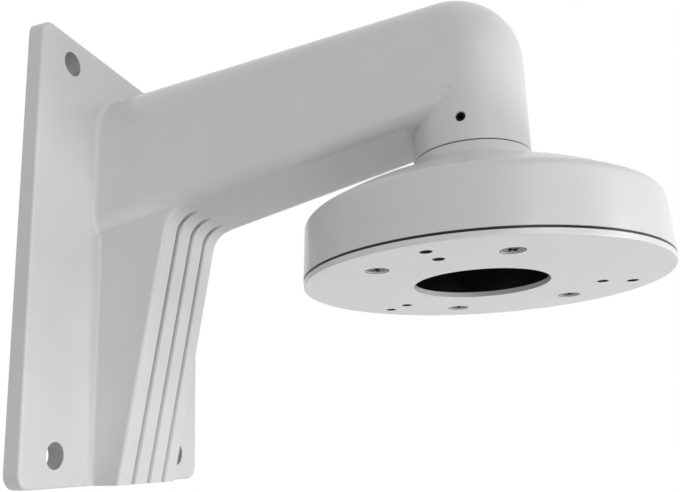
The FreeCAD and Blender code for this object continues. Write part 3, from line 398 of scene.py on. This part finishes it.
def turned(name, outline, steps):
    """A solid turned about Z from its outline of radius and height, which starts and ends at 0."""
    shape = bmesh.new()
    rows = []
    for radius, height in outline:
        if radius == 0:
            rows.append([shape.verts.new((0, 0, height))])
        else:
            rows.append([shape.verts.new((radius * math.cos(2 * math.pi * i / steps),
                                          radius * math.sin(2 * math.pi * i / steps), height))
                         for i in range(steps)])
    for low, high in zip(rows, rows[1:]):
        for i in range(steps):
            corners = [low[i % len(low)], low[(i + 1) % len(low)],
                       high[(i + 1) % len(high)], high[i % len(high)]]
            shape.faces.new(list(dict.fromkeys(corners)))
    return closed(name, shape)


def wedge(name, mouth, floor, depth):
    """A tapered slot cutter: a long rectangle at the mouth that narrows towards the floor."""
    outside = -0.0003  # its mouth stands clear of the face that it cuts
    shape = bmesh.new()
    corners = [shape.verts.new((x * size[0] / 2, y * size[1] / 2, height))
               for size, height in ((mouth, outside), (floor, depth))
               for x, y in ((-1, -1), (1, -1), (1, 1), (-1, 1))]
    bmesh.ops.convex_hull(shape, input=corners)
    return closed(name, shape)


# the screw points up from height 0, which is level with the plate, and its face lies 0.3 mm in
screw = turned("screw_pattern", [
    (0, 0.00030), (0.0030, 0.00026), (0.0034, 0.00026), (0.00352, 0.00036), (0.0019, 0.0017),
    (0.0017, 0.0020), (0.0017, 0.0112), (0.0011, 0.0118), (0, 0.0118)], 48)
slot_length, slot_width, slot_depth = 0.0052, 0.0016, 0.0021
tip_length, tip_width = 0.0018, 0.0007  # of each slot at its floor
cutters = [wedge("slot_across", (slot_length, slot_width), (tip_length, tip_width), slot_depth),
           wedge("slot_up", (slot_width, slot_length), (tip_width, tip_length), slot_depth),
           turned("slot_centre", [(0, -0.0003), (0.0016, -0.0003), (0.0007, 0.0022), (0, 0.0025)],
                  24)]
for cutter in cutters:
    cut = screw.modifiers.new(cutter.name, "BOOLEAN")
    cut.operation = "DIFFERENCE"
    cut.solver = "EXACT"
    cut.object = cutter
    shaped = bpy.data.meshes.new_from_object(
        screw.evaluated_get(bpy.context.evaluated_depsgraph_get()))
    screw.modifiers.remove(cut)
    screw.data = shaped
for cutter in cutters:
    bpy.data.objects.remove(cutter)

tree, given = new_shape("countersunk_screw", {
    "Screw": "Object", "Thread radius": "Float", "Thread length": "Float", "Pitch": "Float",
    "Ridge": "Float", "Thread place": "Vector", "Finish": "Material"})
body = add_node(tree, "GeometryNodeObjectInfo", None, {"Object": given["Screw"]})
turns = thread(tree, given["Thread radius"], given["Ridge"], given["Thread length"],
               given["Pitch"])
turns = add_node(tree, "GeometryNodeTransform", None,
                 {"Geometry": turns, "Translation": given["Thread place"]}).outputs[0]
whole = add_node(tree, "GeometryNodeJoinGeometry")
for shape in (body.outputs["Geometry"], turns):
    tree.links.new(shape, whole.inputs[0])
# each screw was driven home by itself, so the crosses stand at any angle
driven = add_node(tree, "FunctionNodeRandomValue",
                  {"data_type": "FLOAT_VECTOR", 0: (0, 0, 0), 1: (0, 0, math.pi / 2), "Seed": 4})
repeat(tree, given["Geometry"], whole.outputs[0], given["Finish"], driven.outputs[0])
screw_circle = 0.0472  # radius
screw_spread = 28.9  # degrees, of each screw from the axis of the pattern
screw_centres = [on_circle(screw_circle, pattern_turn + turn, plate_bottom)
                 for turn in (screw_spread, -screw_spread, 180 + screw_spread, 180 - screw_spread)]
screws = grow("countersunk_screws", tree, screw_centres, {
    "Screw": screw, "Thread radius": 0.0018, "Thread length": 0.0088, "Pitch": 0.0007,
    "Ridge": 0.0003, "Thread place": (0, 0, 0.0068), "Finish": steel})
bpy.data.objects.remove(screw)
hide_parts("plate_screws")
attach(screws, "root")

# Countersink edges: a dark steel ring round each plate screw, where the countersink was cut through
# the coat; its near-black tone is painted shade of the gap round the head. It is part of the
# adapter plate.
tree, given = new_shape("painted_shade_ring", {"Ring radius": "Float", "Ring width": "Float",
                                      "Ring height": "Float", "Finish": "Material"})
repeat(tree, given["Geometry"],
       ring(tree, given["Ring radius"], given["Ring width"], given["Ring height"]), given["Finish"])
countersink_gap_shade = patchy("countersink_gap_painted_shade", 0.0008, "#121213", "#3A3A3A",
                {"Metallic": 0.5, "Roughness": 0.7})
edges = grow("countersink_edges", tree, screw_centres, {
    "Ring radius": 0.00388, "Ring width": 0.00036, "Ring height": 0.00006, "Finish": countersink_gap_shade})
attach(edges, "root")

# Set screw: a short M4 steel grub screw with a hexagon socket, blackened in hot oxide, driven in
# from the side of the neck against the stub of the cap.
dress("set_screw", patchy("black_oxide_steel", 0.0008, "#0C0C0D", "#1C1C1E",
                          {"Metallic": 0.8, "Roughness": 0.42}))

# Set screw thread: the mouth of the tapped hole in the neck. It was tapped before coating, so its
# first turns are white.
tree, given = new_shape("tapped_mouth", {
    "Thread radius": "Float", "Thread length": "Float", "Pitch": "Float", "Ridge": "Float",
    "Turn": "Rotation", "Finish": "Material"})
turns = thread(tree, given["Thread radius"], given["Ridge"], given["Thread length"],
               given["Pitch"])
repeat(tree, given["Geometry"], turns, given["Finish"], given["Turn"])
grub_low, grub_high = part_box("set_screw")
step_out = 0.0004  # from the end of the screw to the middle of the turns that show
mouth = Vector((grub_low[0] - step_out, (grub_low[1] + grub_high[1]) / 2,
                (grub_low[2] + grub_high[2]) / 2))
wound = grow("set_screw_thread", tree, [mouth], {
    "Thread radius": 0.00205, "Thread length": 0.0006, "Pitch": 0.0007, "Ridge": 0.00034,
    "Turn": (0, math.pi / 2, 0), "Finish": coat})
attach(wound, "root")

# Studio: the bracket hangs in the air over a pale floor, as on its wall, with white all round.
# Soft light comes evenly from everywhere, and five large lamps stand before and below it.
floor_drop = 0.60  # below the middle of the wall holes
floor_half = 1.5  # of its width
floor_mesh = bpy.data.meshes.new("studio_floor")
shaped = bmesh.new()
bmesh.ops.create_grid(shaped, x_segments=1, y_segments=1, size=floor_half,
                      matrix=Matrix.Translation((0, -0.1, -floor_drop)))
shaped.to_mesh(floor_mesh)
shaped.free()
floor = bpy.data.objects.new("studio_floor", floor_mesh)
bpy.context.scene.collection.objects.link(floor)


def seen_as_background(tree):
    """1 for the rays that find the background white: camera, mirror and glass rays."""
    path = add_node(tree, "ShaderNodeLightPath")
    either = add_node(tree, "ShaderNodeMath", {"operation": "MAXIMUM"},
                      {0: path.outputs["Is Camera Ray"], 1: path.outputs["Is Glossy Ray"]})
    return add_node(tree, "ShaderNodeMath", {"operation": "MAXIMUM"},
                    {0: either.outputs[0], 1: path.outputs["Is Transmission Ray"]}).outputs[0]


paper, tree, place = new_finish("white_paper_sweep")
lit = add_node(tree, "ShaderNodeBsdfDiffuse", {"Color": linear("#C9C9C8")})
glow = add_node(tree, "ShaderNodeEmission", {"Color": (1, 1, 1, 1), "Strength": 0.42})
both = add_node(tree, "ShaderNodeAddShader", None, {0: lit.outputs[0], 1: glow.outputs[0]})
chosen = add_node(tree, "ShaderNodeMixShader", None,
                  {0: seen_as_background(tree), 1: lit.outputs[0], 2: both.outputs[0]})
add_node(tree, "ShaderNodeOutputMaterial", None, {"Surface": chosen.outputs[0]})
floor_mesh.materials.append(paper)

world = bpy.data.worlds.new("studio")
bpy.context.scene.world = world
world.use_nodes = True
tree = world.node_tree
tree.nodes.clear()
room = add_node(tree, "ShaderNodeBackground", {"Color": (1, 1, 1, 1), "Strength": 0.40})
white = add_node(tree, "ShaderNodeBackground", {"Color": (1, 1, 1, 1), "Strength": 1.0})
chosen = add_node(tree, "ShaderNodeMixShader", None,
                  {0: seen_as_background(tree), 1: room.outputs[0], 2: white.outputs[0]})
add_node(tree, "ShaderNodeOutputWorld", None, {"Surface": chosen.outputs[0]})

# each lamp is a disc that faces the middle of the bracket: its name, place, width and watts
target = Vector((0.0, -0.13, 0.0))
for name, place, width, watts in (("low_softbox", (0.05, -0.80, -0.55), 0.35, 3.5),
                                  ("front_softbox", (0.05, -1.10, 0.05), 0.50, 1.65),
                                  ("left_softbox", (-0.75, -0.80, 0.10), 0.50, 1.55),
                                  ("side_softbox", (-0.60, -0.30, -0.45), 0.40, 0.45),
                                  ("floor_softbox", (0.0, -0.05, -0.60), 0.30, 0.05)):
    lamp = bpy.data.lights.new(name, "AREA")
    lamp.shape = "DISK"
    lamp.size = width
    lamp.energy = watts
    softbox = bpy.data.objects.new(name, lamp)
    bpy.context.scene.collection.objects.link(softbox)
    softbox.location = place
    softbox.rotation_mode = "QUATERNION"
    softbox.rotation_quaternion = (Vector(place) - target).to_track_quat("Z", "Y")

# Camera: low and to the left of the bracket, looking a little up under the cap. Its place, turn
# and lens were solved from the photo, in which the lens axis lies off centre.
photo_width, photo_height = 680, 492  # pixels
focal = 763.95  # pixels
axis_x, axis_y = 296.07, 282.79  # pixels from the upper left corner
eye = Vector((-0.27986, -0.19675, -0.08046))
right = Vector((0.3651, -0.9310, 0.0))
up = Vector((-0.2034, -0.0798, 0.9759))
roll = math.radians(-1.29)
side = math.cos(roll) * right + math.sin(roll) * up
head = -math.sin(roll) * right + math.cos(roll) * up
back = side.cross(head)
lens = bpy.data.cameras.new("photo_camera")
lens.sensor_width = 36.0
lens.lens = 36.0 * focal / photo_width
lens.shift_x = (photo_width / 2 - axis_x) / photo_width
lens.shift_y = (axis_y - photo_height / 2) / photo_width
lens.clip_start = 0.01
camera = bpy.data.objects.new("photo_camera", lens)
bpy.context.scene.collection.objects.link(camera)
aim = Matrix((side, head, back)).transposed()
camera.matrix_world = Matrix.Translation(eye) @ aim.to_4x4()
bpy.context.scene.camera = camera
bpy.context.scene.view_settings.view_transform = "Standard"
